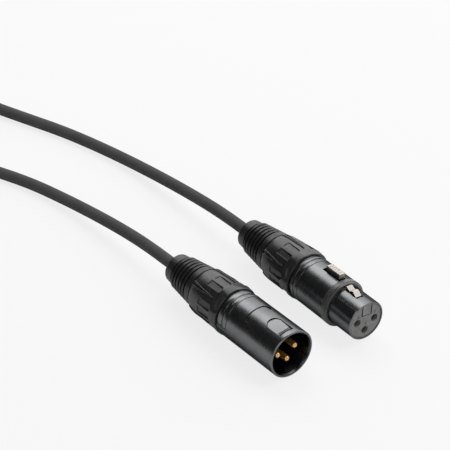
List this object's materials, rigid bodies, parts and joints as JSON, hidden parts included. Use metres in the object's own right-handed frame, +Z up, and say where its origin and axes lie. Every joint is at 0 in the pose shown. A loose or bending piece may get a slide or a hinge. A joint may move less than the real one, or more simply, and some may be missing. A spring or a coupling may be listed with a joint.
{
  "type": "microphone cable",
  "caption": "Balanced audio cable with a pin plug and a latching socket plug, its spare length wound in a flat coil.",
  "frame": {"origin": "under the middle of the two plugs, on the surface that they lie on", "axes": "+X out of the mouth of the plug with pins, +Y from that plug towards the plug with sockets, +Z up"},
  "size_m": [0.3069, 0.0766, 0.0216],
  "materials": {
    "chuck": "matte",
    "collar": "gloss",
    "contact": "polished gold plate",
    "grip": "matte moulded",
    "insert_black": "matte",
    "insert_grey": "matte",
    "jacket": "matte",
    "latch": "satin nickel",
    "shell": "satin black chrome",
    "spring": "bright",
    "tail": "matte",
    "wire_red": "matte",
    "wire_shield": "matte",
    "wire_white": "matte"
  },
  "bodies": {
    "root": {"male_shell": "shell", "male_insert": "insert_black", "male_ground_contact": "spring", "male_cable_end": "jacket", "female_shell": "shell", "female_collar_ring": "collar", "female_insert": "insert_grey", "female_latch_pin": "spring", "female_latch_spring": "spring", "female_ground_contact": "spring", "female_cable_end": "jacket", "cable_male_run": "jacket", "cable_coil": "jacket", "cable_female_run": "jacket", "male_pin_1": "contact", "female_socket_1": "contact", "male_wire_1": "wire_shield", "female_wire_1": "wire_shield", "male_pin_2": "contact", "female_socket_2": "contact", "male_wire_2": "wire_red", "female_wire_2": "wire_red", "male_pin_3": "contact", "female_socket_3": "contact", "male_wire_3": "wire_white", "female_wire_3": "wire_white"},
    "male_clamp": {"male_chuck": "chuck"},
    "male_grip": {"male_grip_nut": "grip", "male_ribbed_tail": "tail"},
    "female_clamp": {"female_chuck": "chuck"},
    "female_grip": {"female_grip_nut": "grip", "female_ribbed_tail": "tail"},
    "female_latch": {"female_latch_lever": "latch"}
  },
  "joints": [
    {"name": "female_latch_press", "type": "hinge", "parent": "root", "child": "female_latch", "pos_m": [0.00786, 0.01742, 0.01567], "axis": [0.0174, 0.9944, -0.1045], "range_deg": [0, 4.5], "stiffness_Nm_per_rad": 0.1, "springref_deg": -5.73, "deforming": ["female_latch_spring"]},
    {"name": "male_clamp_slide", "type": "slide", "parent": "root", "child": "male_clamp", "axis": [-1, 0, 0], "range_m": [0, 0.006]},
    {"name": "male_grip_turn", "type": "hinge", "parent": "male_clamp", "child": "male_grip", "pos_m": [-0.00755, -0.017, 0.01], "axis": [-1, 0, 0], "range_deg": [0, 1080]},
    {"name": "female_clamp_slide", "type": "slide", "parent": "root", "child": "female_clamp", "axis": [-0.9998, 0.0175, 0], "range_m": [0, 0.006]},
    {"name": "female_grip_turn", "type": "hinge", "parent": "female_clamp", "child": "female_grip", "pos_m": [-0.00594, 0.01707, 0.01], "axis": [-0.9998, 0.0175, 0], "range_deg": [0, 1080]}
  ],
  "couplings": [
    {"joint": "male_grip_turn", "follows": "male_clamp_slide", "rad_per_m": 3141.6},
    {"joint": "female_grip_turn", "follows": "female_clamp_slide", "rad_per_m": 3141.6}
  ]
}
